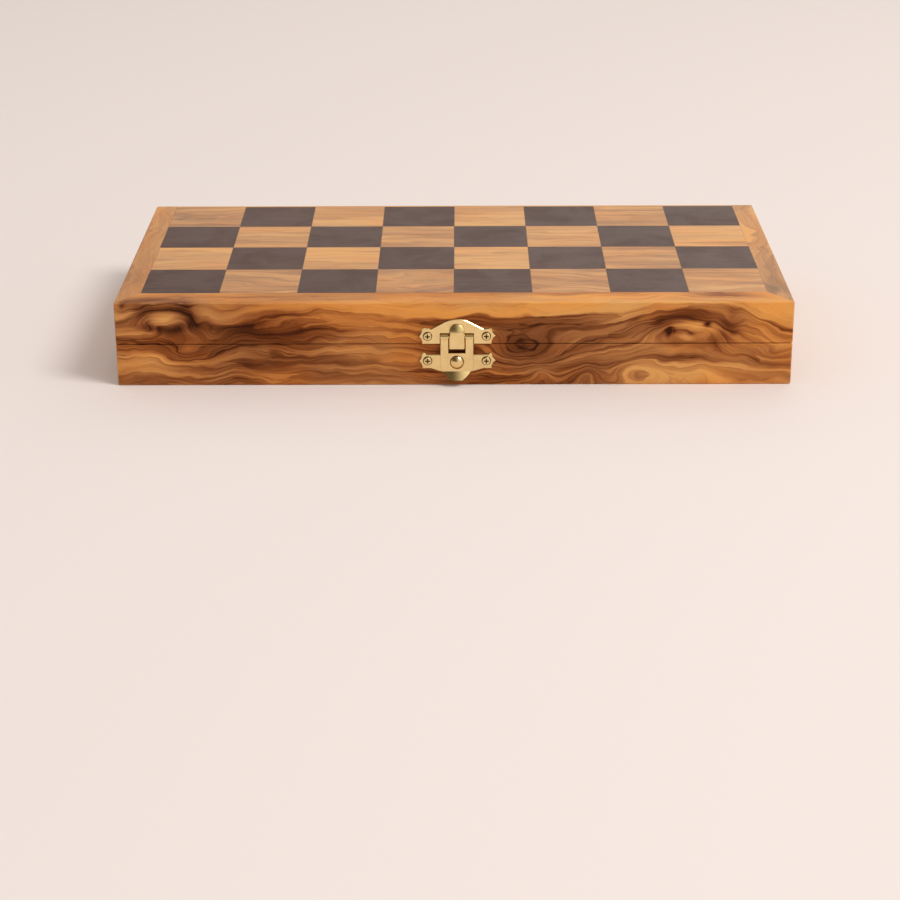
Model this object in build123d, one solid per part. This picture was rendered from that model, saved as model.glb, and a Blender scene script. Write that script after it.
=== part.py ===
from build123d import *
import os
from math import acos, atan2, cos, hypot, radians, sin, tan

# A folding chess box: two shallow wooden halves, hinged at the back and held shut by a brass clasp.
# The outer face of each half is half of a chessboard. Millimetres, +Z up, closed. The origin is the
# middle of the face that the box lies on, the clasp is on the -Y side and the hinges on the +Y side.

# ---- Playing field ----
square = 40.75
columns = 8
rows = 4  # on each half
tile_thickness = 2.5
panel_thickness = 3.5

# ---- Wooden frame of each half ----
half_height = 22.35
rim_gap = 0.3  # between the rims of the closed halves
front_rail = 16.5  # width beside the squares, on the clasp side
side_rail = 12.0
rear_lip = 2.5  # edge of the hinge wall beside the squares
ledge = 4.0  # how far front and side rails reach under the panel
hinge_wall = 10.0
edge_radius = 0.8
rim_bevel = 0.4

# ---- Lining ----
felt_thickness = 1.0
felt_margin = 0.5  # to the walls, all round

# ---- Clearances ----
running = 0.05  # pin in a bore, screw in its hole
turning = 0.35  # between pieces that turn past each other
seat = 0.1  # leaf in its recess
spare = 0.5  # how far holes are cut past the screw's tip or the sheet

# ---- Butt hinges ----
hinge_inset = 54.0  # from the end of the hinge wall to the middle of the hinge beside it
hinge_length = 25.0
axis_offset = 0.5  # from the back of the box to the hinge axis
knuckles = 5
knuckle_radius = 1.75
knuckle_gap = 0.2
hinge_pin_radius = 0.9
leaf_thickness = 1.0
leaf_border = 2.0  # wood left inside the leaf
leaf_screw_margin = 5.0  # from the end of a leaf to the screw beside it
leaf_screw_radius = 0.95
leaf_screw_head_radius = 1.85
leaf_screw_length = 8.0

# ---- Clasp: heights are measured from the parting plane, depths from the front of the box ----
clasp_offset = 1.5  # to the right of the middle
plate_thickness = 1.0
plate_bevel = 0.4
plate_reach = 20.0  # middle of a plate to the points at its ends
point_length = 2.0  # how far these points stand out
point_hollow = 0.4  # how far the scallops beside a point bulge past its corners
corner_land = 1.0
end_height = 8.8  # from corner to corner of a plate's end
screw_inset = 4.8  # screw to the point beside it
crest_radius = 14.5
foot_inset = 1.6  # foot of the crest's slope, inside the screw
upper_edge = 0.15  # straight edge of the upper plate, above the parting plane
upper_foot_drop = 0.5  # that foot below the corner beside it
crest_border = 2.5  # plate above the hood
lower_edge = 5.5  # straight edge of the lower plate, below the parting plane
lower_step = 1.05  # its corners stand above that edge
lower_border = 7.5  # stud to the lower plate's crest
latch_screw_radius = 0.9
latch_screw_head_radius = 2.15
latch_screw_head = 0.8
latch_screw_rounding = 0.55  # of the head's rim
latch_screw_length = 9.0

axis_height = 4.5  # the flap's hinge axis above the parting plane
barrel_radius = 1.35
latch_pin_radius = 0.6
hood_width = 8.1
hood_wall = 0.8
hood_bend = 0.2  # inner radius of the hood's bent edges
hood_rim = 0.4  # height of the hood's top end over the plate
slope_bulge = 0.55  # how far the slope bows out
hood_drop = 6.15  # hood's lower end below the axis
hood_knee = 0.7  # where the hood starts to slope, above the axis
hood_rise = 6.8  # hood's top above the axis
flap_width = 17.0
flap_thickness = 0.8
flap_bevel = 0.2
window_gap = 1.85  # window past the hood's swing
stud_place = 5.0  # stud below the window
bend_place = 5.0  # the lip's bend below the stud
lip_length = 4.9
lip_angle = 25.0
lip_width = 14.0
lip_end_width = 3.1
lip_bulge = 0.35  # of its rounded sides
stud_radius = 3.2
stud_side = 1.2  # height of the stud's straight side
stud_dome = 1.5
stud_rivet_radius = 1.1

# ---- Cross recesses in the screw heads ----
recess_width = 0.75
recess_depth = 0.45
recess_reach = 0.6  # of the head's radius

# ---- Worked out ----
width = columns * square + 2 * side_rail
depth = front_rail + rows * square + rear_lip
front = -depth / 2
back = depth / 2
parting = half_height + rim_gap / 2
field_x = columns * square / 2
field_front = front + front_rail
field_back = back - rear_lip
field_thickness = tile_thickness + panel_thickness
inner_x = field_x - ledge
inner_front = field_front + ledge
inner_back = back - hinge_wall
hinge_axis_y = back + axis_offset
hinge_x = inner_x - hinge_inset
leaf_screw_spacing = hinge_length - 2 * leaf_screw_margin
leaf_inner_y = back - hinge_wall + leaf_border
leaf_screw_y = (leaf_inner_y + back) / 2
knuckle_length = (hinge_length - (knuckles - 1) * knuckle_gap) / knuckles
axis_depth = plate_thickness + turning + flap_thickness / 2
hood_depth = axis_depth + latch_pin_radius + turning + hood_wall
hood_edge_radius = hood_bend + hood_wall
window_drop = hypot(hood_rise, axis_depth) + window_gap
stud_drop = window_drop + stud_place
flap_bend = stud_drop + bend_place
plate_end = plate_reach - point_length
screw_place = plate_reach - screw_inset
upper_screw = upper_edge + end_height / 2
lower_screw = lower_edge - lower_step + end_height / 2
upper_crest = axis_height + hood_rise + crest_border
lower_crest = stud_drop - axis_height + lower_border
clasp = Plane(origin=(clasp_offset, front, parting), x_dir=(1, 0, 0), z_dir=(0, -1, 0))


def block(x0, x1, y0, y1, z0, z1):
    return Pos((x0 + x1) / 2, (y0 + y1) / 2, (z0 + z1) / 2) * Box(x1 - x0, y1 - y0, z1 - z0)


def rod(radius, x0, x1, y, z):
    """A cylinder along X."""
    return Pos((x0 + x1) / 2, y, z) * Rot(0, 90, 0) * Cylinder(radius, x1 - x0)


def through_hole(radius, thickness):
    """The running hole along Z for a pin or a screw, right through a sheet on either side of XY."""
    return Cylinder(radius + running, 2 * (thickness + spare))


def turned_over(part):
    """A piece of the lower half, mirrored about the parting plane into the lid."""
    return mirror(part, about=Plane.XY.offset(parting))


# ---- Wooden half ----


def envelope():
    """The outer block of a half, with its edges eased."""
    blank = block(-width / 2, width / 2, front, back, 0, half_height)
    outer = blank.edges().filter_by(Axis.Z) + blank.edges().group_by(Axis.Z)[0]
    blank = fillet(outer, edge_radius)
    return chamfer(blank.edges().group_by(Axis.Z)[-1], rim_bevel)


def front_wedge():
    """What the mitres leave to the front rail, seen from above."""
    reach = (front_rail + ledge) / front_rail
    end_x = width / 2 - side_rail * reach
    outline = Polyline(
        (-width / 2, front), (width / 2, front), (end_x, inner_front), (-end_x, inner_front), close=True
    )
    return extrude(make_face(outline), half_height)


def recess_for_leaf(x):
    """The mortise of a hinge leaf and the hollow round its knuckles, in the rim of the lower half."""
    half = hinge_length / 2 + seat
    mortise = block(x - half, x + half, leaf_inner_y - seat, back, half_height - leaf_thickness, parting)
    hollow = rod(knuckle_radius + turning, x - half - turning, x + half + turning, hinge_axis_y, parting)
    return mortise + hollow


def frame_rails():
    """Front rail, left rail, right rail and hinge wall of the lower half, without screw holes."""
    whole = envelope()
    wedge = front_wedge()
    rabbet = block(-field_x, field_x, field_front, field_back, 0, field_thickness)
    lip = block(-field_x, field_x, field_back, back, 0, field_thickness)
    right = (whole & block(inner_x, width / 2, front, back, 0, half_height)) - wedge - rabbet - lip
    wall = lip + block(-inner_x, inner_x, inner_back, back, field_thickness, half_height)
    return {
        "front_rail": (whole & wedge) - rabbet,
        "left_rail": mirror(right, about=Plane.YZ),
        "right_rail": right,
        "hinge_wall": whole & wall,
    }


def squares(row, dark_first, dark):
    """The dark or the light squares of one row, counted from the clasp side."""
    first_dark = row % 2 if dark_first else (row + 1) % 2
    y = field_front + row * square
    starts = [-field_x + c * square for c in range(first_dark if dark else 1 - first_dark, columns, 2)]
    return [block(x, x + square, y, y + square, 0, tile_thickness) for x in starts]


def wooden_half(dark_first):
    """All wood and felt of one half, as the lower one, by name."""
    pieces = {name: [part] for name, part in frame_rails().items()}
    pieces["panel"] = [block(-field_x, field_x, field_front, field_back, tile_thickness, field_thickness)]
    for row in range(rows):
        pieces[f"light_squares_row_{row + 1}"] = squares(row, dark_first, dark=False)
        pieces[f"dark_squares_row_{row + 1}"] = squares(row, dark_first, dark=True)
    pieces["felt_lining"] = [
        block(
            -inner_x + felt_margin,
            inner_x - felt_margin,
            inner_front + felt_margin,
            inner_back - felt_margin,
            field_thickness,
            field_thickness + felt_thickness,
        )
    ]
    return pieces


# ---- Screws ----


def cross_recess(head_radius, top):
    arm = head_radius * recess_reach
    bar = block(-arm, arm, -recess_width / 2, recess_width / 2, top - recess_depth, top + recess_depth)
    return bar + Rot(0, 0, 90) * bar


def leaf_screw():
    """A countersunk screw along Z, its head's top at the origin."""
    head = leaf_screw_head_radius - leaf_screw_radius
    cone = Pos(0, 0, -head / 2) * Cone(leaf_screw_radius, leaf_screw_head_radius, head)
    shank = Pos(0, 0, -leaf_screw_length / 2) * Cylinder(leaf_screw_radius, leaf_screw_length)
    return cone + shank - cross_recess(leaf_screw_head_radius, 0)


def latch_screw():
    """A pan-head screw along Z, the underside of its head at the origin."""
    head = Pos(0, 0, latch_screw_head / 2) * Cylinder(latch_screw_head_radius, latch_screw_head)
    head = fillet(head.edges().group_by(Axis.Z)[-1], latch_screw_rounding)
    shank = Pos(0, 0, -latch_screw_length / 2) * Cylinder(latch_screw_radius, latch_screw_length)
    return head + shank - cross_recess(latch_screw_head_radius, latch_screw_head)


# ---- Butt hinges ----


def leaf_screw_places(x):
    return [Pos(x + side * leaf_screw_spacing / 2, leaf_screw_y, half_height) for side in (-1, 1)]


def hinge_leaf(x, own):
    """The leaf let into the lower half, with the knuckles whose numbers are in own."""
    start = x - hinge_length / 2
    end = start + hinge_length
    leaf = block(start, end, leaf_inner_y, hinge_axis_y, half_height - leaf_thickness, half_height)
    for n in range(knuckles):
        x0 = start + n * (knuckle_length + knuckle_gap)
        x1 = x0 + knuckle_length
        if n in own:
            leaf += rod(knuckle_radius, x0, x1, hinge_axis_y, parting)
        else:
            leaf -= rod(knuckle_radius + turning, x0 - knuckle_gap, x1 + knuckle_gap, hinge_axis_y, parting)
    leaf -= rod(hinge_pin_radius + running, start, end, hinge_axis_y, parting)
    wide = leaf_screw_head_radius + running
    narrow = leaf_screw_radius + running
    sink = Pos(0, 0, (narrow - wide) / 2) * Cone(narrow, wide, wide - narrow)
    for place in leaf_screw_places(x):
        leaf -= place * sink
        leaf -= place * through_hole(leaf_screw_radius, leaf_thickness)
    return leaf


def hinge_pin(x):
    return rod(hinge_pin_radius, x - hinge_length / 2, x + hinge_length / 2, hinge_axis_y, parting)


def leaf_pilot_holes(x):
    hole = Cylinder(leaf_screw_radius + running, 2 * (leaf_screw_length + spare))
    return [place * hole for place in leaf_screw_places(x)]


# ---- Clasp, drawn in its own plane: X to the right, Y up, Z out of the box's front ----


def slope_top(foot, crest):
    """Where the straight slope from foot runs into the round crest."""
    middle = crest - crest_radius
    rise = atan2(foot[1] - middle, foot[0])
    turn = rise + acos(crest_radius / hypot(foot[0], foot[1] - middle))
    return (crest_radius * cos(turn), middle + crest_radius * sin(turn))


def plate_blank(edge, step, foot_drop, crest):
    """A stamped plate that reaches up from its straight edge to its crest, with a bevel all round."""
    low = edge - step
    screw = low + end_height / 2
    high = low + end_height
    hollow = plate_end + point_hollow
    corner = plate_end - corner_land
    foot = (screw_place - foot_inset, high - foot_drop)
    shoulder = slope_top(foot, crest)
    half = make_face(
        Polyline((0, crest), (0, edge), (corner - corner_land, edge), (corner, low), (plate_end, low))
        + ThreePointArc((plate_end, low), (hollow, (low + screw) / 2), (plate_reach, screw))
        + ThreePointArc((plate_reach, screw), (hollow, (high + screw) / 2), (plate_end, high))
        + Polyline((plate_end, high), (corner, high), foot, shoulder)
        + RadiusArc(shoulder, (0, crest), -crest_radius)
    )
    blank = extrude(half + mirror(half, about=Plane.YZ), plate_thickness)
    blank = chamfer(blank.edges().group_by(Axis.Z)[-1], plate_bevel)
    for side in (-1, 1):
        blank -= Pos(side * screw_place, screw, 0) * through_hole(latch_screw_radius, plate_thickness)
    return blank


def hood():
    """The hollow cover that carries the flap's pin."""
    low = axis_height - hood_drop
    high = axis_height + hood_rise
    knee = axis_height + hood_knee
    rim = plate_thickness + hood_rim
    half = hood_width / 2
    outline = Pos(0, (low + high - half) / 2) * Rectangle(hood_width, high - half - low)
    outline += Pos(0, high - half) * Circle(half)
    slope = make_face(
        Polyline((high, rim), (high, 0), (low, 0), (low, hood_depth), (knee, hood_depth))
        + ThreePointArc(
            (knee, hood_depth),
            ((knee + high) / 2 + slope_bulge, (hood_depth + rim) / 2 + slope_bulge),
            (high, rim),
        )
    )
    section = RectangleRounded(hood_width, 2 * hood_depth, hood_edge_radius)
    body = extrude(outline, hood_depth)
    body &= extrude(Plane.YZ * slope, half, both=True)
    body &= extrude(Plane.XZ.offset(-high) * section, high - low)
    hollow = half - hood_wall
    return body - block(-hollow, hollow, low, knee + hood_wall, 0, hood_depth - hood_wall)


def hood_plate():
    """The upper plate: it carries the hood and is open behind the flap's barrels."""
    plate = plate_blank(upper_edge, 0, upper_foot_drop, upper_crest)
    half = flap_width / 2 + turning
    top = axis_height + barrel_radius + turning
    plate -= block(-half, half, 0, top, 0, plate_thickness)
    plate += hood()
    return plate - rod(latch_pin_radius + running, -hood_width, hood_width, axis_height, axis_depth)


def stud_plate():
    """The lower plate, with the hole for the stud's rivet."""
    plate = mirror(plate_blank(lower_edge, lower_step, 0, lower_crest), about=Plane.XZ)
    return plate - Pos(0, axis_height - stud_drop, 0) * through_hole(stud_rivet_radius, plate_thickness)


def stud():
    """A domed stud, riveted through the lower plate."""
    height = stud_side + stud_dome
    ball = (stud_radius**2 + stud_dome**2) / (2 * stud_dome)
    head = Pos(0, 0, plate_thickness + height / 2) * Cylinder(stud_radius, height)
    head &= Pos(0, 0, plate_thickness + height - ball) * Sphere(ball)
    rivet = Pos(0, 0, plate_thickness / 2) * Cylinder(stud_rivet_radius, plate_thickness)
    return Pos(0, axis_height - stud_drop, 0) * (head + rivet)


def flap_leaf():
    """The flat of the flap, with the window that clears the hood and the hole for the stud."""
    side = flap_width / 2
    bend = axis_height - flap_bend
    corner = (flap_width - lip_width) / 2
    half = make_face(
        Polyline((0, bend), (0, axis_height), (side, axis_height), (side, bend + corner))
        + RadiusArc((side, bend + corner), (side - corner, bend), corner)
        + Line((side - corner, bend), (0, bend))
    )
    leaf = extrude(half + mirror(half, about=Plane.YZ), flap_thickness)
    opening = hood_width / 2 + turning
    leaf -= block(-opening, opening, axis_height - window_drop, axis_height, 0, flap_thickness)
    stud_hole = Cylinder(stud_radius + turning, 2 * (flap_thickness + spare))
    leaf -= Pos(0, axis_height - stud_drop, 0) * stud_hole
    face_edges = leaf.edges().group_by(Axis.Z)[-1]
    between = face_edges.filter_by_position(Axis.Y, bend, axis_height, inclusive=(False, False))
    leaf = chamfer(between, flap_bevel)
    return Pos(0, 0, axis_depth - flap_thickness / 2) * leaf


def flap_lip():
    """The finger lip, bent outwards from the flat."""
    half = flap_thickness / 2
    bend = axis_height - flap_bend
    root = bend + half
    shift = half * tan(radians(lip_angle / 2))
    down, out = -cos(radians(lip_angle)), sin(radians(lip_angle))
    tip = (bend + down * lip_length, axis_depth + out * lip_length)
    sheet = make_face(
        Polyline(
            (root, axis_depth - half),
            (bend - shift, axis_depth - half),
            (tip[0] - out * half, tip[1] + down * half),
            (tip[0] + out * half, tip[1] - down * half),
            (bend + shift, axis_depth + half),
            (root, axis_depth + half),
            close=True,
        )
    )
    end = tip[0] - half
    outline = make_face(
        Polyline((lip_end_width / 2, end), (0, end), (0, root), (lip_width / 2, root), (lip_width / 2, bend))
        + ThreePointArc(
            (lip_width / 2, bend),
            ((lip_width + lip_end_width) / 4 + lip_bulge, (bend + end) / 2 - lip_bulge),
            (lip_end_width / 2, end),
        )
    )
    outline += mirror(outline, about=Plane.YZ)
    return extrude(Plane.YZ * sheet, lip_width / 2, both=True) & extrude(outline, axis_depth + lip_length)


def flap():
    """The flap: flat, lip and the two barrels that turn on the pin."""
    side = flap_width / 2
    opening = hood_width / 2 + turning
    body = flap_leaf() + flap_lip()
    body += rod(barrel_radius, opening, side, axis_height, axis_depth)
    body += rod(barrel_radius, -side, -opening, axis_height, axis_depth)
    return body - rod(latch_pin_radius + running, -side, side, axis_height, axis_depth)


def latch_pin():
    return rod(latch_pin_radius, -flap_width / 2, flap_width / 2, axis_height, axis_depth)


def latch_screw_places(height):
    return [Pos(side * screw_place, height, plate_thickness) for side in (-1, 1)]


def latch_pilot_holes(height):
    hole = Cylinder(latch_screw_radius + running, 2 * (latch_screw_length + spare))
    return [clasp * place * hole for place in latch_screw_places(height)]


# ---- The whole box ----


def cut(part, holes):
    for hole in holes:
        part -= hole
    return part


def assemble():
    parts = {}
    hinge_xs = {"left": -hinge_x, "right": hinge_x}
    base = wooden_half(dark_first=False)
    lid = wooden_half(dark_first=True)
    for x in hinge_xs.values():
        for half in (base, lid):
            half["hinge_wall"] = [cut(half["hinge_wall"][0], [recess_for_leaf(x), *leaf_pilot_holes(x)])]
    for name, solids in lid.items():
        lid[name] = [turned_over(s) for s in solids]
    base["front_rail"] = [cut(base["front_rail"][0], latch_pilot_holes(-lower_screw))]
    lid["front_rail"] = [cut(lid["front_rail"][0], latch_pilot_holes(upper_screw))]
    for half_name, half in (("base", base), ("lid", lid)):
        for name, solids in half.items():
            parts[f"{half_name}_{name}"] = solids

    even = range(0, knuckles, 2)
    odd = range(1, knuckles, 2)
    for side, x in hinge_xs.items():
        parts[f"base_{side}_hinge_leaf"] = [hinge_leaf(x, even)]
        parts[f"lid_{side}_hinge_leaf"] = [turned_over(hinge_leaf(x, odd))]
        parts[f"{side}_hinge_pin"] = [hinge_pin(x)]
    screws = [place * leaf_screw() for x in hinge_xs.values() for place in leaf_screw_places(x)]
    parts["base_hinge_screws"] = screws
    parts["lid_hinge_screws"] = [turned_over(s) for s in screws]

    parts["latch_hood_plate"] = [clasp * hood_plate()]
    parts["latch_stud_plate"] = [clasp * stud_plate()]
    parts["latch_stud"] = [clasp * stud()]
    parts["latch_flap"] = [clasp * flap()]
    parts["latch_pin"] = [clasp * latch_pin()]
    parts["lid_latch_screws"] = [clasp * place * latch_screw() for place in latch_screw_places(upper_screw)]
    parts["base_latch_screws"] = [clasp * place * latch_screw() for place in latch_screw_places(-lower_screw)]
    return parts


os.makedirs("parts", exist_ok=True)
for name, solids in assemble().items():
    export_step(Compound(children=[s for part in solids for s in part.solids()]), f"parts/{name}.step")
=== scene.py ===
# %% [markdown]
# # A folding chess box in olive wood
# Two shallow wooden halves hang together on brass butt hinges, and their outer faces make a
# chessboard when the box is opened flat. The joiner's work comes in from the frame as finished
# solids: every rail, square, hinge leaf and screw already has its true shape and place. What is
# left for this script is what a finisher does: the figure of the olive wood, the stain of the dark
# squares, the varnish, the brass, the felt, and a plain table to show it on. So nearly every cell
# below builds a procedural material, and only the felt is a new mesh.
#
# Blender counts in metres and a joiner in millimetres. The materials are written in millimetres, so
# sizes from the frame are turned into them here, once.

# %% Loading the joiner's work
import random
from math import pi, radians

import bmesh
import bpy
from mathutils import Matrix, Vector


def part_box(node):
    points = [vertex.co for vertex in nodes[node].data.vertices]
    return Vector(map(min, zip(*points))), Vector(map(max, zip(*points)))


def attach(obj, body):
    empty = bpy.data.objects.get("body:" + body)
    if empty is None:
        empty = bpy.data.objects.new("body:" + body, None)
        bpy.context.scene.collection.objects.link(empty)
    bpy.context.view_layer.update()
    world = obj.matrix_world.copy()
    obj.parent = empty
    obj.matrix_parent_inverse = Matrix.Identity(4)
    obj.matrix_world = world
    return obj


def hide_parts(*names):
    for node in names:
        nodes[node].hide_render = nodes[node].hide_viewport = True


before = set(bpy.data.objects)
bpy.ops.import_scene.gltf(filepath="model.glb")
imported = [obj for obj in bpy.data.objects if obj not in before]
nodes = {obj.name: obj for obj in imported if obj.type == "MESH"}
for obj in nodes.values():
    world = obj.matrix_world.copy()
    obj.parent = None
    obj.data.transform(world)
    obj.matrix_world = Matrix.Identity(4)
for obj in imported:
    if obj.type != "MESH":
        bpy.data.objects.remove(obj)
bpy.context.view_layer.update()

random.seed(8)
mm = 1000.0


def box_in_mm(name):
    """Lowest and highest corner of a piece, in millimetres."""
    low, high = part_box(name)
    return low * mm, high * mm


# %% [markdown]
# ## The camera
# A camera can be aimed with a constraint, or by hand. Here its place, tilt and a very slight turn
# and roll are plain numbers, put together as three rotations: first the roll about its own line of
# sight, then the tilt, then the turn about the upright. A long lens from over a metre away keeps
# the sides of the box nearly parallel. The view looks down at 22 degrees, across the lid.

# %% Camera
camera_place = Vector((0.0026, -1.1877, 0.4067))
camera_tilt, camera_turn, camera_roll = radians(67.99), radians(0.255), radians(-0.219)
lens = 89.81

camera = bpy.data.objects.new("camera", bpy.data.cameras.new("camera"))
camera.data.lens = lens
camera.data.sensor_width = 36
camera.matrix_world = (
    Matrix.Translation(camera_place)
    @ Matrix.Rotation(camera_turn, 4, "Z")
    @ Matrix.Rotation(camera_tilt, 4, "X")
    @ Matrix.Rotation(camera_roll, 4, "Z")
)
bpy.context.scene.collection.objects.link(camera)
bpy.context.scene.camera = camera
bpy.context.scene.view_settings.view_transform = "Standard"
print("camera", tuple(round(v, 3) for v in camera.location), "lens", camera.data.lens)

# %% [markdown]
# ## A bench for wiring shader nodes
# A node tree can be wired with one `nodes.new` and several `links.new` for every step, but then the
# formula drowns in plumbing. This small class keeps one tree, and each of its methods adds a node,
# wires whatever it is given (a socket is linked, a plain value is set) and hands back the output.
# A formula then reads almost like algebra.


# %% The wiring bench
class Bench:
    """Adds and wires nodes in one tree."""

    def __init__(self, tree):
        self.tree = tree

    def feed(self, socket, value):
        if isinstance(value, bpy.types.NodeSocket):
            self.tree.links.new(value, socket)
        else:
            socket.default_value = value

    def add(self, kind, inputs=None, **settings):
        node = self.tree.nodes.new("ShaderNode" + kind)
        for name, value in settings.items():
            setattr(node, name, value)
        for name, value in (inputs or {}).items():
            self.feed(node.inputs[name], value)
        return node

    def math(self, operation, *values, clamp=False):
        node = self.add("Math", operation=operation, use_clamp=clamp)
        for socket, value in zip(node.inputs, values):
            self.feed(socket, value)
        return node.outputs[0]

    def vector(self, operation, *values):
        node = self.add("VectorMath", operation=operation)
        for socket, value in zip(node.inputs, values):
            self.feed(socket, value)
        return node.outputs["Value" if operation in ("LENGTH", "DOT_PRODUCT") else "Vector"]

    def scaled(self, vector, factor):
        node = self.add("VectorMath", {"Vector": vector, "Scale": factor}, operation="SCALE")
        return node.outputs["Vector"]

    def combine(self, x=0.0, y=0.0, z=0.0):
        return self.add("CombineXYZ", {"X": x, "Y": y, "Z": z}).outputs[0]

    def split(self, vector):
        node = self.add("SeparateXYZ", {"Vector": vector})
        return node.outputs["X"], node.outputs["Y"], node.outputs["Z"]

    def noise(self, vector, scale=1.0, detail=2.0, roughness=0.5, distortion=0.0):
        values = {"Vector": vector, "Scale": scale, "Detail": detail}
        node = self.add("TexNoise", {**values, "Roughness": roughness, "Distortion": distortion})
        return node.outputs

    def between(self, value, low, high, to_low=0.0, to_high=1.0):
        """Maps low..high smoothly to to_low..to_high."""
        ends = {"From Min": low, "From Max": high, "To Min": to_low, "To Max": to_high}
        node = self.add("MapRange", {"Value": value, **ends}, interpolation_type="SMOOTHSTEP")
        return node.outputs["Result"]

    def ramp(self, factor, stops):
        """A colour ramp: stops are (place, colour)."""
        node = self.add("ValToRGB", {"Fac": factor})
        band = node.color_ramp.elements
        while len(band) < len(stops):
            band.new(0.5)
        for element, (place, colour) in zip(band, stops):
            element.position = place
            element.color = (*colour, 1)
        return node.outputs["Color"]

    def mix(self, factor, a, b, blend="MIX"):
        node = self.add("Mix", data_type="RGBA", blend_type=blend)
        colours = [s for s in node.inputs if s.type == "RGBA"]
        self.feed(node.inputs["Factor"], factor)
        for socket, value in zip(colours, (a, b)):
            self.feed(socket, value)
        return next(s for s in node.outputs if s.type == "RGBA")

    def group(self, tree, **inputs):
        """Places a finished group. An input's name is given with underscores for spaces."""
        node = self.add("Group", node_tree=tree)
        for name, value in inputs.items():
            self.feed(node.inputs[name.replace("_", " ")], value)
        return node.outputs


def shader_group(name, inputs, outputs):
    """A node group with named sockets: its bench, its inputs by name and its output node."""
    tree = bpy.data.node_groups.new(name, "ShaderNodeTree")
    for title, value in inputs.items():
        kind = "NodeSocketFloat" if isinstance(value, float) else "NodeSocketVector"
        tree.interface.new_socket(title, in_out="INPUT", socket_type=kind).default_value = value
    for title, kind in outputs.items():
        tree.interface.new_socket(title, in_out="OUTPUT", socket_type="NodeSocket" + kind)
    entry = tree.nodes.new("NodeGroupInput")
    return Bench(tree), entry.outputs, tree.nodes.new("NodeGroupOutput").inputs


print("bench ready")

# %% [markdown]
# ## Swells: what knots do to the grain
# Growth lines run straight until a branch or a burl gets in their way, and then they bulge around
# it. The lines could be painted one by one, but it is easier to think of them as the contour lines
# of a landscape. Across straight wood the height rises evenly. Each swell adds a smooth bell to
# that height, so the contours bend around it, and where the bell is steep they close into an eye.
# A swell can also darken or lighten the wood, all over or, with Ring at 1, only in a ring, because
# burls and knots have one where bark grew in. Swells are chained: each takes the height and the
# darkness of the one before it and hands them on.

# %% Swell group
bench, given, gives = shader_group(
    "Swell",
    {
        "Position": (0, 0, 0),
        "Height": 0.0,
        "Darkness": 0.0,
        "Centre": (0, 0, 0),
        "Reach": (1, 1, 1),
        "Lift": 0.0,
        "Shade": 0.0,
        "Ring": 0.0,
    },
    {"Height": "Float", "Darkness": "Float"},
)
away = bench.vector("SUBTRACT", given["Position"], given["Centre"])
away = bench.vector("LENGTH", bench.vector("DIVIDE", away, given["Reach"]))
squared = bench.math("MULTIPLY", away, away)
bell = bench.math("EXPONENT", bench.math("MULTIPLY", squared, -1.0))
steepness = bench.math("MULTIPLY_ADD", given["Ring"], 2.0, 1.0)
from_rim = bench.math("MULTIPLY", bench.math("SUBTRACT", away, given["Ring"]), steepness)
squared = bench.math("MULTIPLY", from_rim, from_rim)
rim = bench.math("EXPONENT", bench.math("MULTIPLY", squared, -1.0))
bench.feed(gives["Height"], bench.math("MULTIPLY_ADD", bell, given["Lift"], given["Height"]))
bench.feed(gives["Darkness"], bench.math("MULTIPLY_ADD", rim, given["Shade"], given["Darkness"]))
swell_group = bench.tree
print("group:", swell_group.name)

# %% [markdown]
# ## Nothing grows straight
# Perfect bells would look like drops of oil. Before any contour is read, the place itself is pushed
# about a little by a noise, whose three colour channels serve as three directions. Everything that
# is read at the crooked place, straight lines and swells alike, then looks grown.

# %% Crooked place group
bench, given, gives = shader_group(
    "Crooked place", {"Position": (0, 0, 0), "Size": 10.0, "Amount": 1.0}, {"Position": "Vector"}
)
spread = bench.scaled(given["Position"], bench.math("DIVIDE", 1.0, given["Size"]))
spread = bench.vector("MULTIPLY", spread, (0.6, 1, 1))
push = bench.noise(spread, detail=2.0, roughness=0.45)["Color"]
push = bench.scaled(bench.vector("SUBTRACT", push, (0.5, 0.5, 0.5)), given["Amount"])
bench.feed(gives["Position"], bench.vector("ADD", given["Position"], push))
crooked_group = bench.tree
print("group:", crooked_group.name)

# %% [markdown]
# ## The figure of olive wood
# Olive wood is honey-coloured sapwood shot through with brown and nearly black lines. The lines
# follow the landscape of the swells. So the colour is worked out from noises that are read along
# the contours: they change quickly from one contour to the next and hardly at all along the grain.
# Three things are drawn with them: smoky zones, ridged noise for thin dark lines, and flames. A
# flame is a band that darkens slowly and then stops at a sharp edge, as the tree lays down each
# year, and it is made with a sawtooth. All of it goes through a slow noise first, because no real
# line is straight. The shade that comes from the swells is streaked along the contours as well, or
# it would look airbrushed. In the end everything adds up to one number, the darkness, and a colour
# ramp turns it into wood, from honey to ink.

# %% Olive figure group
honey = (0.79, 0.365, 0.095)
amber = (0.56, 0.22, 0.058)
russet = (0.34, 0.114, 0.031)
chestnut = (0.20, 0.056, 0.013)
umber = (0.105, 0.026, 0.005)
ink = (0.045, 0.010, 0.002)

bench, given, gives = shader_group(
    "Olive figure",
    {
        "Position": (0, 0, 0),
        "Height": 0.0,
        "Darkness": 0.0,
        "Seed": (0, 0, 0),
        "Spacing": 3.0,
        "Waviness": 4.0,
        "Smoke": 1.0,
        "Lines": 1.0,
    },
    {"Color": "Color", "Darkness": "Float", "Relief": "Float"},
)
place = bench.vector("ADD", given["Position"], given["Seed"])
along, deep, _ = bench.split(place)
slow = bench.noise(bench.vector("MULTIPLY", place, (0.014, 0.035, 0.035)), detail=2.0)["Fac"]
drift = bench.math("MULTIPLY", bench.math("SUBTRACT", slow, 0.5), given["Waviness"])
drifted = bench.math("MULTIPLY_ADD", drift, 3.0, given["Height"])
turns = bench.math("DIVIDE", drifted, given["Spacing"])


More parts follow.
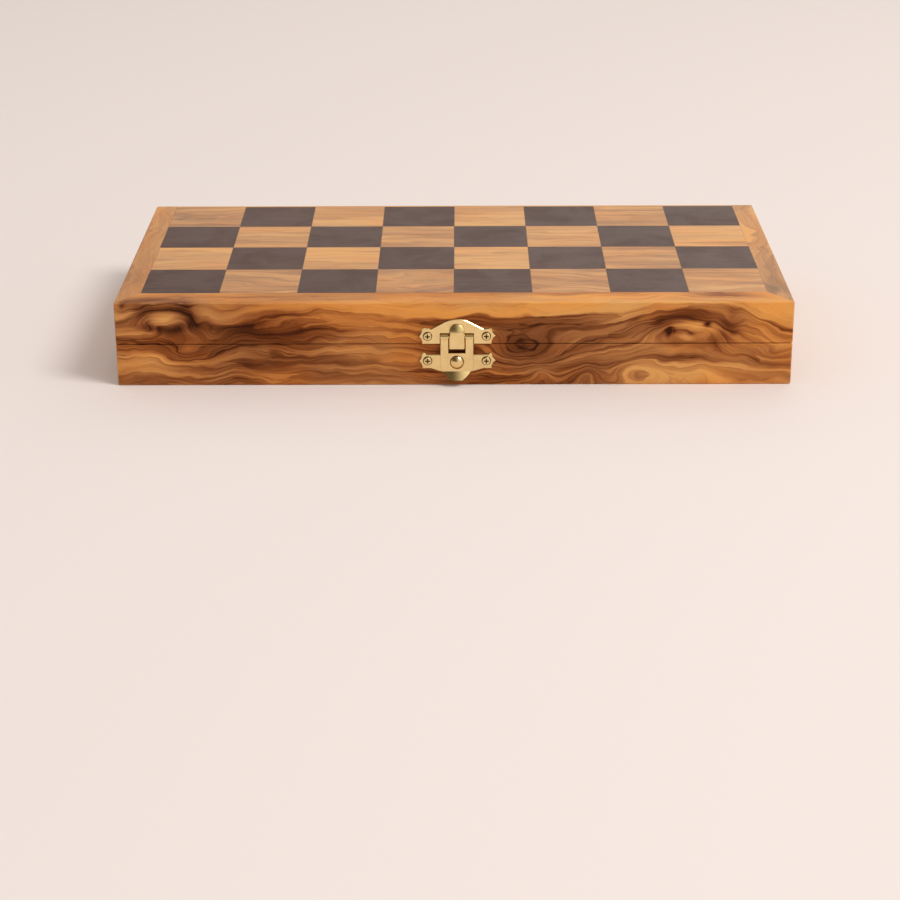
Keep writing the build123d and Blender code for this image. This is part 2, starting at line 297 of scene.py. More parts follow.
def contour_noise(rise, run, detail, offset=0.0):
    """Noise that changes by rise from contour to contour and by run along the grain."""
    vector = bench.combine(
        bench.math("MULTIPLY_ADD", turns, rise, offset),
        bench.math("MULTIPLY", along, run),
        bench.math("MULTIPLY", deep, run),
    )
    return bench.noise(vector, detail=detail, roughness=0.5)["Fac"]


def ridge(noise, width):
    """A thin line where the noise passes its middle."""
    off_middle = bench.math("ABSOLUTE", bench.math("SUBTRACT", noise, 0.5))
    return bench.between(off_middle, 0.0, width, 1.0, 0.0)


def flame(rate, wander, sharpness, offset):
    """Bands that darken slowly across the contours and stop at a sharp edge."""
    bend = bench.math("MULTIPLY", contour_noise(0.35, 0.012, 2.0, offset), wander)
    saw = bench.math("FRACT", bench.math("MULTIPLY_ADD", turns, rate, bend))
    rise = bench.math("POWER", saw, sharpness)
    return bench.math("MULTIPLY", rise, bench.between(saw, 0.96, 1.0, 1.0, 0.0))


zones = bench.between(contour_noise(0.28, 0.010, 3.0), 0.42, 0.60)
bands = bench.between(contour_noise(0.9, 0.013, 3.0, 11.0), 0.38, 0.66)
strong = ridge(contour_noise(0.8, 0.010, 2.0, 7.0), 0.016)
fine = ridge(contour_noise(2.4, 0.014, 2.0, 23.0), 0.035)
wide_flame = flame(0.30, 3.0, 1.8, 19.0)
thin_flame = flame(0.95, 4.0, 3.5, 37.0)
lively = bench.math("MULTIPLY_ADD", zones, 0.75, 0.25)
fibre = bench.vector("MULTIPLY", place, (0.22, 2.4, 2.4))
fibre = bench.noise(fibre, detail=3.0, roughness=0.6)["Fac"]
layers = [
    (zones, given["Smoke"], 0.20),
    (bands, given["Smoke"], 0.12),
    (wide_flame, given["Smoke"], 0.22),
    (bench.math("MULTIPLY", thin_flame, lively), given["Lines"], 0.20),
    (bench.math("MULTIPLY", strong, lively), given["Lines"], 0.34),
    (bench.math("MULTIPLY", fine, lively), given["Lines"], 0.13),
    (bench.math("SUBTRACT", fibre, 0.5), 1.0, 0.10),
]
streaked = bench.math("MULTIPLY_ADD", bands, 0.7, 0.6)
dark = bench.math("MULTIPLY", given["Darkness"], streaked)
for layer, amount, weight in layers:
    dark = bench.math("MULTIPLY_ADD", layer, bench.math("MULTIPLY", amount, weight), dark)
dark = bench.math("MAXIMUM", bench.math("MINIMUM", dark, 1.0), 0.0)
pale_half = [(0.0, honey), (0.19, amber), (0.40, russet)]
dark_half = [(0.60, chestnut), (0.84, umber), (1.0, ink)]
colour = bench.ramp(dark, pale_half + dark_half)
warm_tint, cool_tint = (1.06, 0.97, 0.82, 1), (0.96, 1.03, 1.2, 1)
patches = bench.noise(bench.vector("MULTIPLY", place, (0.02, 0.06, 0.06)), detail=3.0)["Fac"]
tint = bench.mix(bench.between(patches, 0.35, 0.65), warm_tint, cool_tint)
bench.feed(gives["Color"], bench.mix(1.0, colour, tint, "MULTIPLY"))
bench.feed(gives["Darkness"], dark)
bench.feed(gives["Relief"], bench.math("MULTIPLY_ADD", strong, -0.4, fibre))
figure_group = bench.tree
print("group:", figure_group.name, len(figure_group.nodes), "nodes")

# %% [markdown]
# ## Worn edges
# The varnish is thinnest and the wood palest where hands and sleeves rub the outer edges. A mesh
# could store that as a mask, but for a box it can be worked out: take the distance from a point to
# each pair of faces, and on the surface one of the three is zero. The point is on an edge where a
# second one is small as well. The group puts out that mask, broken up by a noise.

# %% Worn edge group
bench, given, gives = shader_group(
    "Worn edge",
    {"Position": (0, 0, 0), "Centre": (0, 0, 0), "Half Size": (1, 1, 1), "Width": 1.0},
    {"Mask": "Float"},
)
inside = bench.vector("ABSOLUTE", bench.vector("SUBTRACT", given["Position"], given["Centre"]))
x, y, z = bench.split(bench.vector("SUBTRACT", given["Half Size"], inside))
nearest_two = bench.math("MINIMUM", bench.math("MAXIMUM", x, y), bench.math("MAXIMUM", y, z))
nearest_two = bench.math("MINIMUM", nearest_two, bench.math("MAXIMUM", x, z))
rub = bench.noise(bench.scaled(given["Position"], 0.06), detail=4.0, roughness=0.7)["Fac"]
limit = bench.math("MULTIPLY", given["Width"], bench.between(rub, 0.35, 0.7, 0.25, 1.6))
gap = bench.math("DIVIDE", nearest_two, limit)
bench.feed(gives["Mask"], bench.between(gap, 0.0, 1.0, 1.0, 0.0))
worn_edge_group = bench.tree
print("group:", worn_edge_group.name)

# %% [markdown]
# ## Handling marks
# No varnish and no brass stays evenly glossy: fingers leave soft smudges, and boards rubbed on a
# table get faint hairlines. One group serves every finish on the box. It gives a smudge mask for
# the roughness and a hairline mask for the bump.

# %% Handling marks group
bench, given, gives = shader_group(
    "Handling marks", {"Position": (0, 0, 0), "Size": 20.0}, {"Smudge": "Float", "Hairline": "Float"}
)
size = bench.combine(given["Size"], given["Size"], given["Size"])
spread = bench.vector("DIVIDE", given["Position"], size)
smear = bench.noise(spread, detail=5.0, roughness=0.6, distortion=0.6)["Fac"]
bench.feed(gives["Smudge"], bench.between(smear, 0.38, 0.68))
skewed = bench.add("VectorRotate", {"Vector": spread, "Angle": 0.6}, rotation_type="Z_AXIS").outputs[0]
scratch = bench.noise(bench.vector("MULTIPLY", skewed, (0.6, 26, 26)), detail=2.0)["Fac"]
scratch = bench.math("ABSOLUTE", bench.math("SUBTRACT", scratch, 0.5))
scratch = bench.between(scratch, 0.0, 0.012, 1.0, 0.0)
bench.feed(gives["Hairline"], bench.math("MULTIPLY", scratch, bench.between(smear, 0.5, 0.6)))
marks_group = bench.tree
print("group:", marks_group.name)

# %% [markdown]
# ## A material starts from the surface's own place
# Image textures need unwrapped meshes, and projected ones stretch round corners. Solid textures
# don't: they are read at the point's own place in the wood, so the figure runs on from the front
# over the edge to the top, as it does in a real board. Object coordinates are used, because they
# stay with the piece when the lid turns. They are taken in millimetres, which a joiner thinks in.


# %% Starting a material
def start_material(name):
    """A new material: its bench, its Principled shader and the surface's place in millimetres."""
    material = bpy.data.materials.new(name)
    material.use_nodes = True
    bench = Bench(material.node_tree)
    shader = material.node_tree.nodes["Principled BSDF"]
    place = bench.scaled(bench.add("TexCoord").outputs["Object"], mm)
    return material, bench, shader, place


def raise_grain(bench, shader, height, distance, strength=1.0, over=None):
    """Bump from a height socket, distance metres deep. It can lie over the normal of another one."""
    bump = bench.add("Bump", {"Height": height, "Distance": distance, "Strength": strength})
    if over:
        bench.feed(bump.inputs["Normal"], over)
    bench.feed(shader.inputs["Normal"], bump.outputs["Normal"])
    return bump.outputs["Normal"]


def finish_with(material, *names):
    """Gives pieces of the joiner's work their finish."""
    for name in names:
        piece = nodes[name]
        piece.data.materials.clear()
        piece.data.materials.append(material)
    print(material.name, "on", ", ".join(names))


# %% [markdown]
# ## Rails of olive wood
# The rails of both halves are sawn from one blank and stay together when the box is closed, so one
# landscape of swells serves the base and the lid and runs on across the joint. The height of the
# landscape is the height in the blank, tipped a little, so that lines also run along the rail's
# top. The lid's upper edge is pale sapwood and the wood below it is figured heartwood: the border
# between them is a contour too, and rises and falls with the swells. Each swell is listed with a
# name that says what it makes.

# %% Rail material
rail_gloss = 0.34
milk = (0.72, 0.49, 0.28, 1)
worn_wood = (0.72, 0.42, 0.18, 1)
front_corner = box_in_mm("base_front_rail")[0]
wood_low = Vector((box_in_mm("base_left_rail")[0].x, front_corner.y, front_corner.z))
wood_high = box_in_mm("lid_right_rail")[1]
box_half, box_centre = (wood_high - wood_low) / 2, (wood_high + wood_low) / 2
print("closed box of wood", tuple(round(v, 2) for v in wood_high - wood_low), "mm")


def olive_rail(
    name, grain, swells, sapwood, seed, waviness=3.0, spacing=3.0, paleness=0.0, milkiness=0.0
):
    """Varnished olive wood. grain(bench, place) gives (vector along the grain, height).

    sapwood is the height where it begins, paleness lightens the heartwood, milkiness the whole rail.
    """
    material, bench, shader, place = start_material(name)
    crooked = bench.group(crooked_group, Position=place, Size=11.0, Amount=7.0)["Position"]
    fibre_place, height = grain(bench, crooked)
    darkness = 0.0
    for centre, reach, lift, shade, *ring in swells.values():
        knot = bench.group(
            swell_group,
            Position=crooked,
            Height=height,
            Darkness=darkness,
            Centre=centre,
            Reach=reach,
            Lift=lift,
            Shade=shade,
            Ring=ring[0] if ring else 0.0,
        )
        height, darkness = knot["Height"], knot["Darkness"]
    stray = bench.noise(bench.vector("MULTIPLY", place, (0.02, 0.05, 0.06)), detail=2.0)["Fac"]
    border = bench.math("MULTIPLY_ADD", stray, 3.0, bench.math("SUBTRACT", height, 1.5 + sapwood))
    heart = bench.between(border, -1.0, 1.5, 1.0 - paleness, 0.0)
    rim = bench.between(bench.math("ABSOLUTE", border), 0.3, 1.6, 0.22 - paleness, 0.0)
    rim = bench.math("MULTIPLY", rim, bench.between(stray, 0.35, 0.6))
    darkness = bench.math("ADD", bench.math("MULTIPLY_ADD", heart, 0.16, -0.02), darkness)
    figure = bench.group(
        figure_group,
        Position=fibre_place,
        Height=height,
        Darkness=bench.math("ADD", darkness, rim),
        Seed=seed,
        Spacing=spacing,
        Waviness=waviness,
        Smoke=bench.math("MULTIPLY_ADD", heart, 0.7, 0.3),
        Lines=bench.math("MULTIPLY_ADD", heart, 0.65, 0.35),
    )
    worn = bench.group(
        worn_edge_group, Position=place, Centre=box_centre, Half_Size=box_half, Width=0.9
    )["Mask"]
    marks = bench.group(marks_group, Position=place, Size=35.0)
    colour = bench.mix(milkiness, figure["Color"], milk)
    colour = bench.mix(bench.math("MULTIPLY", worn, 0.35), colour, worn_wood)
    bench.feed(shader.inputs["Base Color"], colour)
    rough = bench.math("MULTIPLY_ADD", marks["Smudge"], 0.08, rail_gloss)
    rough = bench.math("MULTIPLY_ADD", figure["Darkness"], -0.06, rough)
    bench.feed(shader.inputs["Roughness"], bench.math("MULTIPLY_ADD", worn, 0.12, rough))
    shader.inputs["Specular IOR Level"].default_value = 0.07
    relief = bench.math("MULTIPLY_ADD", marks["Hairline"], -0.3, figure["Relief"])
    raise_grain(bench, shader, relief, 0.00004)
    return material


# %% The front rails
def front_grain(bench, place):
    """Lines run along X, and the height also grows from the front towards the squares."""
    _, y, z = bench.split(place)
    return place, bench.math("MULTIPLY_ADD", bench.math("SUBTRACT", y, wood_low.y), 0.8, z)


front_swells = {
    "burl in the left corner": ((-149, -91, 38), (14, 12, 7.5), -13, 0.0),
    "flat middle of the burl": ((-149, -91, 37), (7, 12, 4), 6, 0.0),
    "dark ring of the burl": ((-148, -91, 37), (12, 9, 6), 0, 0.34, 1.0),
    "honey inside the ring": ((-149, -91, 37), (8.5, 9, 4), 0, -0.28),
    "bark over the burl": ((-140, -90, 42.5), (5, 6, 3), 4, 0.6),
    "bark behind the burl": ((-133, -90, 36), (3.5, 6, 5), 5, 0.4),
    "bark under the burl": ((-159, -91, 31.5), (5, 6, 2.5), 3, 0.6),
    "bark over the corner": ((-161, -90, 43.5), (13, 5, 2.4), 3, 0.42),
    "first bud at the corner": ((-170, -91, 42.5), (3, 6, 1.8), 4, 0.35),
    "second bud at the corner": ((-162, -91, 41.5), (3.5, 6, 1.8), 5, 0.45),
    "brown wood over the left": ((-98, -91, 38), (36, 20, 8), 0, 0.26),
    "smoke at the left": ((-95, -91, 29), (55, 20, 9), 0, 0.13),
    "even base at the left": ((-70, -91, 8), (75, 20, 10), 0, 0.08),
    "honey dipping at the left": ((-112, -91, 36), (24, 40, 12), 2.5, 0.0),
    "heart rising at the left": ((-62, -91, 36), (22, 40, 14), -3, 0.0),
    "broad arch of the heartwood": ((120, -91, 34), (36, 40, 30), -8, 0.0),
    "bark lines over the knot": ((122, -91, 40), (24, 10, 2.5), 0, 0.18),
    "eye of the knot": ((124, -91, 29), (19, 12, 7), -12, 0.05),
    "bark round the eye": ((124, -91, 29.5), (17, 12, 8), 0, 0.2, 1.0),
    "splinter in the eye": ((125, -91, 33), (8, 6, 2.5), 2, -0.3),
    "dark swirl beyond the eye": ((143, -91, 33), (5, 9, 7), 5, 0.28),
    "flat middle of the eye": ((122, -91, 26), (9, 12, 3.5), 8, -0.1),
    "core of the knot": ((111.5, -91, 28.5), (1.9, 8, 2.3), -5, 1.8),
    "crack beside the core": ((119, -91, 28.5), (6, 8, 1.1), 2.5, 0.6),
    "pin knot beyond the eye": ((131.5, -91, 33.5), (2.0, 6, 1.3), 3, 0.9),
    "honey beyond the eye": ((135, -91, 30), (5, 8, 2.5), 0, -0.2),
    "paler heartwood at the right": ((95, -91, 34), (65, 20, 12), 0, -0.07),
    # painted shade: darkens the top face of the front rails, broken into streaks like the figure
    "painted shade along the top": ((0, -77, 46), (300, 9, 3), 0, 0.15),
    "bark running over the left edge": ((-150, -87, 45.5), (16, 4.5, 3), 4, 0.4),
    "smoky patch on the right top": ((142, -80, 45.5), (17, 5, 3), 5, 0.22),
    "heartwood falling to the right": ((180, -91, 34), (24, 30, 20), 8, 0.0),
    "plain corner at the right": ((164, -91, 41), (12, 14, 6), 0, -0.1),
    "heart beside the clasp": ((37, -91, 18), (18, 12, 8.5), 13, 0.12),
    "smoky patch at the left": ((-124, -91, 27), (8, 8, 5), 7, -0.1),
    "half moon under the joint": ((-136, -91, 17), (12, 8, 6), 9, 0.0),
    "sapwood at the lower left": ((-158, -91, 12), (18, 20, 8), -3, -0.18),
    "tongue at the lower right": ((98, -91, 7), (14, 12, 7), -11, -0.2),
    "sapwood at the lower right": ((128, -91, 6), (22, 15, 6), -5, -0.25),
    "leaf beside the tongue": ((69, -91, 6), (7, 8, 7), -9, 0.0),
    "spot below the heart": ((46, -91, 5), (5, 6, 5), -6, -0.2),
    "small eye at the right end": ((165, -91, 16), (7, 6, 4), 6, 0.1),
    "pin knot in the base": ((-43, -91, 13.5), (6, 5, 2), 2, 0.3),
    # painted shade: darkens the wood seen through the flap's window, where shade falls behind the clasp
    "painted shade behind the clasp": ((1.5, -91, 20), (10, 4, 4), 0, 0.6),
}
front_wood = olive_rail("front_rail_olive_wood", front_grain, front_swells, 37.0, (0, 0, 0))
finish_with(front_wood, "lid_front_rail", "base_front_rail")


# %% [markdown]
# ## Side rails and hinge wall
# The side rails are cut from other stretches of the same log. Their grain runs from front to back,
# so their coordinates are swapped before the figure is read. The wall at the hinges is straighter
# and paler, like the offcut that a maker puts where it shows least.


# %% The side rails and the hinge wall
def side_grain(outward):
    """Lines run along Y, and the height also grows from the outer face towards the squares."""

    def grain(bench, place):
        x, y, z = bench.split(place)
        inward = bench.math("MULTIPLY_ADD", x, -outward, box_half.x)
        return bench.combine(y, x, z), bench.math("MULTIPLY_ADD", inward, 0.9, z)

    return grain


def wall_grain(bench, place):
    """Lines run along X, and the height also grows from the back towards the squares."""
    _, y, z = bench.split(place)
    return place, bench.math("MULTIPLY_ADD", bench.math("SUBTRACT", box_half.y, y), 0.8, z)


left_swells = {
    "brown top": ((-170, -20, 45), (20, 90, 9), 0, 0.28),
    "swirl near the front": ((-175, -48, 26), (12, 16, 8), 12, 0.05),
    "flame to the back": ((-175, 30, 16), (12, 30, 9), -12, 0.0),
    "knot at the back": ((-175, 66, 33), (10, 9, 5), -9, 0.2),
}
right_swells = {
    "flame at the front": ((175, -60, 20), (12, 26, 9), -13, 0.0),
    "knot in the middle": ((175, -6, 33), (11, 10, 5), 9, 0.15),
    "swirl on the top": ((168, 34, 45), (9, 22, 9), 9, 0.05),
    "pale wood at the back": ((168, 40, 45), (20, 60, 9), 0, -0.15),
    "brown wood in front": ((168, -80, 45), (20, 30, 9), 0, 0.15),
    "bark streak in front": ((169, -68, 45), (7, 9, 6), 5, 0.3),
    "flame at the back": ((175, 52, 13), (12, 24, 8), 10, 0.0),
}
wall_swells = {
    "long arch": ((-60, 91, 24), (50, 20, 10), 8, 0.0),
    "knot at the right": ((110, 91, 14), (14, 12, 6), -8, 0.15),
}
left_wood = olive_rail(
    "left_rail_olive_wood",
    side_grain(-1.0),
    left_swells,
    sapwood=38.0,
    seed=(340, 20, 60),
    waviness=4.0,
    spacing=4.5,
    milkiness=0.2,
)
right_wood = olive_rail(
    "right_rail_olive_wood",
    side_grain(1.0),
    right_swells,
    sapwood=60.0,
    seed=(510, 70, 10),
    waviness=6.0,
    paleness=0.45,
    milkiness=0.3,
)
wall_wood = olive_rail(
    "hinge_wall_olive_wood",
    wall_grain,
    wall_swells,
    sapwood=30.0,
    seed=(80, 190, 30),
    paleness=0.15,
    milkiness=0.2,
)
finish_with(left_wood, "lid_left_rail", "base_left_rail")
finish_with(right_wood, "lid_right_rail", "base_right_rail")
finish_with(wall_wood, "lid_hinge_wall", "base_hinge_wall")

# %% [markdown]
# ## Telling the squares apart
# The squares are cut from many boards, so no two neighbours share a figure. Each could have a
# material of its own, but 64 materials are a nuisance to adjust. Instead the surface's place is
# rounded down to the number of its square, and a white noise turns this number into a random
# offset and tone. The same group draws the hairline of glue in the joints.

# %% Square numbering group
columns = 8
field_corner, field_end = box_in_mm("lid_panel")
square_size = (field_end.x - field_corner.x) / columns

bench, given, gives = shader_group(
    "Square numbering",
    {"Position": (0, 0, 0), "Corner": (0, 0, 0), "Square": 40.0},
    {"Offset": "Vector", "Tone": "Float", "Joint": "Float"},
)
x, y, z = bench.split(bench.vector("SUBTRACT", given["Position"], given["Corner"]))
column = bench.math("DIVIDE", x, given["Square"])
row = bench.math("DIVIDE", y, given["Square"])
upper = bench.math("GREATER_THAN", z, -box_centre.z)
number = bench.combine(bench.math("FLOOR", column), bench.math("FLOOR", row), upper)
chance = bench.add("TexWhiteNoise", {"Vector": number}, noise_dimensions="3D")
bench.feed(gives["Offset"], bench.scaled(chance.outputs["Color"], 900.0))
bench.feed(gives["Tone"], chance.outputs["Value"])


def to_joint(steps):
    """Distance to the nearest border between squares, as a share of the square."""
    share = bench.math("FRACT", steps)
    return bench.math("MINIMUM", share, bench.math("SUBTRACT", 1.0, share))


nearest = bench.math("MINIMUM", to_joint(column), to_joint(row))
nearest = bench.math("MULTIPLY", nearest, given["Square"])
bench.feed(gives["Joint"], bench.between(nearest, 0.05, 0.32, 1.0, 0.0))
square_group = bench.tree
print("group:", square_group.name, "square", round(square_size, 3), "mm")

# %% [markdown]
# ## Light squares
# They are the same olive wood, but the paler parts of it, with fine lines that mostly run along
# the rows. A few were cut beside a knot, and their lines swirl: the tone's random number decides
# how wavy, dark and lined a square is. A little milky colour is mixed in, so that they are paler
# than the front rails.

# %% Light squares
glue_line = (0.10, 0.045, 0.02, 1)

material, bench, shader, place = start_material("light_square_olive_wood")
square = bench.group(square_group, Position=place, Corner=field_corner, Square=square_size)
own_place = bench.vector("ADD", place, square["Offset"])
own_place = bench.group(crooked_group, Position=own_place, Size=14.0, Amount=6.0)["Position"]
_, across, _ = bench.split(own_place)
wild = bench.between(square["Tone"], 0.5, 1.0, 2.5, 18.0)
figure = bench.group(
    figure_group,
    Position=own_place,
    Height=across,
    Darkness=bench.between(square["Tone"], 0.0, 1.0, -0.08, 0.14),
    Spacing=3.4,
    Waviness=wild,
    Smoke=0.7,
    Lines=bench.between(square["Tone"], 0.3, 0.95, 0.4, 1.1),
)
marks = bench.group(marks_group, Position=place, Size=30.0)
glued = bench.math("MULTIPLY", square["Joint"], 0.6)
colour = bench.mix(0.30, figure["Color"], milk)
bench.feed(shader.inputs["Base Color"], bench.mix(glued, colour, glue_line))
bench.feed(shader.inputs["Roughness"], bench.math("MULTIPLY_ADD", marks["Smudge"], 0.08, rail_gloss))
shader.inputs["Specular IOR Level"].default_value = 0.12
relief = bench.math("MULTIPLY_ADD", square["Joint"], -0.8, figure["Relief"])
raise_grain(bench, shader, relief, 0.00005)
rows = range(1, 5)
finish_with(material, *(f"{half}_light_squares_row_{row}" for half in ("lid", "base") for row in rows))

# %% [markdown]
# ## Dark squares
# A plain close-grained wood stained purple-brown. Stain evens the colour out, so what shows is its
# satin varnish, which greys towards the far edge of the board, and short open pores that took up
# more stain. The greying isn't painted: it is what any varnish does at a glancing angle, and the
# shader's own reflection makes it.

# %% Dark squares
stain = (0.112, 0.056, 0.040, 1)
deep_stain = (0.058, 0.027, 0.020, 1)

material, bench, shader, place = start_material("dark_square_stained_wood")
square = bench.group(square_group, Position=place, Corner=field_corner, Square=square_size)
own_place = bench.vector("ADD", place, square["Offset"])
grain = bench.vector("MULTIPLY", own_place, (0.04, 0.55, 0.55))
grain = bench.noise(grain, detail=4.0, roughness=0.65)["Fac"]
pores = bench.noise(bench.vector("MULTIPLY", own_place, (0.35, 4.0, 4.0)), detail=1.0)["Fac"]
pores = bench.between(pores, 0.62, 0.72)
depth = bench.math("MULTIPLY_ADD", pores, 0.4, bench.between(grain, 0.3, 0.7, 0.1, 0.7))
depth = bench.math("MULTIPLY_ADD", square["Tone"], 0.25, depth, clamp=True)
marks = bench.group(marks_group, Position=place, Size=26.0)
bench.feed(shader.inputs["Base Color"], bench.mix(depth, stain, deep_stain))
bench.feed(shader.inputs["Roughness"], bench.math("MULTIPLY_ADD", marks["Smudge"], 0.1, 0.36))
shader.inputs["Specular IOR Level"].default_value = 0.3
relief = bench.math("MULTIPLY", bench.math("ADD", pores, square["Joint"]), -0.8)
raise_grain(bench, shader, relief, 0.00004)
finish_with(material, *(f"{half}_dark_squares_row_{row}" for half in ("lid", "base") for row in rows))

# %% [markdown]
# ## The plywood under the squares
# The panel only shows as a hairline round the felt, but who takes the box apart finds it finished
# too. Plywood is peeled, so its figure is wide and cloudy. The layers of its edge are a sine of the
# height.

# %% Plywood
veneer_pale, veneer_dark = (0.50, 0.34, 0.19, 1), (0.32, 0.19, 0.10, 1)
veneer_pair = 1.2

material, bench, shader, place = start_material("bare_plywood")
_, _, z = bench.split(place)
cloud = bench.vector("MULTIPLY", place, (0.03, 0.4, 0.02))
cloud = bench.noise(cloud, detail=5.0, roughness=0.6)["Fac"]
layers = bench.math("SINE", bench.math("MULTIPLY", z, 2 * pi / veneer_pair))
layers = bench.between(layers, -0.4, 0.4, 0.0, 0.5)
shade = bench.math("ADD", bench.between(cloud, 0.3, 0.7, 0.0, 0.6), layers, clamp=True)
bench.feed(shader.inputs["Base Color"], bench.mix(shade, veneer_pale, veneer_dark))
bench.feed(shader.inputs["Roughness"], bench.between(cloud, 0.2, 0.8, 0.6, 0.78))
raise_grain(bench, shader, cloud, 0.0001)
finish_with(material, "lid_panel", "base_panel")

# %% [markdown]
# ## Brass
# The clasp is pressed from polished yellow brass and lacquered. The hinges are plainer and a bit
# duller. Metal shows almost only what it reflects, so what makes it look real is an uneven
# roughness: fine brushing one way, soft smudges, and small browner spots where the lacquer let
# air in. One group makes all of this, and each brass piece uses it with its own values.

# %% Brass group
bright_brass, smudged_brass = (0.90, 0.68, 0.33, 1), (0.84, 0.62, 0.29, 1)
brown_spot = (0.42, 0.25, 0.09, 1)

bench, given, gives = shader_group(
    "Brass finish",
    {"Position": (0, 0, 0), "Tarnish": 0.3, "Brushing": 0.1, "Roughness": 0.25},
    {"Color": "Color", "Roughness": "Float", "Relief": "Float"},
)
marks = bench.group(marks_group, Position=given["Position"], Size=6.0)
brushed = bench.noise(bench.vector("MULTIPLY", given["Position"], (0.5, 14, 14)), detail=3.0)["Fac"]
spots = bench.noise(bench.scaled(given["Position"], 0.9), detail=6.0, roughness=0.7)["Fac"]
spots = bench.math("MULTIPLY", bench.between(spots, 0.52, 0.74), given["Tarnish"])
clean = bench.mix(marks["Smudge"], bright_brass, smudged_brass)
bench.feed(gives["Color"], bench.mix(spots, clean, brown_spot))
rough = bench.math("MULTIPLY_ADD", brushed, given["Brushing"], given["Roughness"])
rough = bench.math("MULTIPLY_ADD", marks["Smudge"], 0.05, rough)
bench.feed(gives["Roughness"], bench.math("MULTIPLY_ADD", spots, 0.25, rough))
bench.feed(gives["Relief"], bench.math("MULTIPLY_ADD", marks["Hairline"], -0.5, brushed))
brass_group = bench.tree
print("group:", brass_group.name)

# %% [markdown]
# ## Painted shade round the heads
# Each head on the clasp's plates, the stud's as well, gets a thin dark ring on the plate round it,
# painted shade where the head sits in the plate. A ring could be painted by hand, but it is exact
# when it is worked out from the distance to the middle of the head, which the frame knows.

# %% Painted shade group
bench, given, gives = shader_group(
    "Dirt round a head",
    {"Position": (0, 0, 0), "Centre": (0, 0, 0), "Radius": 2.0, "Width": 0.5, "Dirt": 0.0},
    {"Dirt": "Float"},
)
away = bench.vector("MULTIPLY", bench.vector("SUBTRACT", given["Position"], given["Centre"]), (1, 0, 1))
outside = bench.math("SUBTRACT", bench.vector("LENGTH", away), given["Radius"])
ring = bench.between(bench.math("DIVIDE", outside, given["Width"]), 0.2, 1.0, 1.0, 0.0)
bench.feed(gives["Dirt"], bench.math("MAXIMUM", ring, given["Dirt"]))
head_shade_group = bench.tree
print("group:", head_shade_group.name)


# %% Where the heads are
def heads(node):
    """Middle and radius of the round heads at the left and the right end of a node of the clasp."""
    low, high = box_in_mm(node)
    radius, height = (high.z - low.z) / 2, (low.z + high.z) / 2
    return [((x, low.y, height), radius) for x in (low.x + radius, high.x - radius)]


stud = heads("latch_stud")[0]
plate_heads = heads("lid_latch_screws") + heads("base_latch_screws") + [stud]
print("heads on the plates:", len(plate_heads))

# %% [markdown]
# ## Pressed brass is never flat
# The hood's slope and the lip of the flap were pressed in a die, and both came out slightly domed
# from left to right. On a plane a reflection is all one tone, but on a dome it runs from dark to
# light. The solids have plain planes there, so the dome is added as a second bump over the
# brushing. Its height is a parabola across X, and a mask keeps it to the slope or to the lip.

# %% Domes on the clasp
flap_low, flap_high = box_in_mm("latch_flap")
hood_low, _ = box_in_mm("latch_hood_plate")
clasp_middle = (flap_low.x + flap_high.x) / 2
lip_height, slope_height = 4.9, 7.0

finger_lip = {
    "start": (clasp_middle, flap_low.y, flap_low.z + lip_height),
    "upwards": -1.0,
    "depth": 10.0,
    "half width": 8.5,
    "dome": 2.2,
}
hood_slope = {
    "start": (clasp_middle, hood_low.y, hood_low.z + slope_height),
    "upwards": 1.0,
    "depth": 2.3,
    "half width": 4.05,
    "dome": 0.9,
}


def domed(bench, place, form):
    """A slight dome across X: its height in millimetres, and a mask of the surface that has it.

    The mask begins at the start, goes on upwards or downwards, and ends at a depth behind the front.
    """
    x, y, z = bench.split(bench.vector("SUBTRACT", place, form["start"]))
    share = bench.math("DIVIDE", x, form["half width"])
    dome = bench.math("MULTIPLY", bench.math("MULTIPLY", share, share), -form["dome"])
    past_start = bench.between(bench.math("MULTIPLY", z, form["upwards"]), -0.2, 0.2)
    in_front = bench.between(y, form["depth"] - 0.3, form["depth"], 1.0, 0.0)
    return dome, bench.math("MULTIPLY", past_start, in_front)


print("domes: lip", finger_lip["dome"], "mm, hood", hood_slope["dome"], "mm")

# %% [markdown]
# ## Brass, put together
# One function makes every brass of the box from the finish group, the painted shade round heads and
# in recesses and, for the hood's plate and the flap, a dome. Each could be wired by itself, but then
# a change of the metal would have to be made five times. The plates and the flap are polished, the
# screws are more tarnished, and the hinges stay satin, since nobody polishes those.

# %% Brass material
# the colour of the painted shade round the heads and in the screws' recesses
painted_shade_colour = (0.10, 0.055, 0.018, 1)
brushing_depth = 0.004
one_mm = 1 / mm


def brass(name, tarnish, brushing, roughness, shaded_heads=(), recess=None, form=None):
    """Brass. Shade is painted round shaded_heads and in recesses behind a Y; a form is domed."""
    material, bench, shader, place = start_material(name)
    metal = bench.group(
        brass_group, Position=place, Tarnish=tarnish, Brushing=brushing, Roughness=roughness
    )
    painted_shade = 0.0
    # painted shade: a thin dark ring on the plate round each head
    for centre, radius in shaded_heads:
        ring = bench.group(head_shade_group, Position=place, Centre=centre, Radius=radius, Dirt=painted_shade)
        painted_shade = ring["Dirt"]
    # painted shade: the cross recess of each clasp screw is darkened below a depth in Y
    if recess is not None:
        _, y, _ = bench.split(place)
        painted_shade = bench.between(bench.math("SUBTRACT", y, recess), 0.08, 0.3)
    bench.feed(shader.inputs["Base Color"], bench.mix(painted_shade, metal["Color"], painted_shade_colour))
    rough = bench.math("MULTIPLY_ADD", painted_shade, 0.3, metal["Roughness"])
    bench.feed(shader.inputs["Roughness"], rough)
    shader.inputs["Metallic"].default_value = 1.0
    relief = bench.math("MULTIPLY", metal["Relief"], brushing_depth)
    brushed_normal = raise_grain(bench, shader, relief, one_mm)
    if form:
        height, mask = domed(bench, place, form)
        raise_grain(bench, shader, height, one_mm, strength=mask, over=brushed_normal)
    return material


print("brass from", brass_group.name, "and", head_shade_group.name)

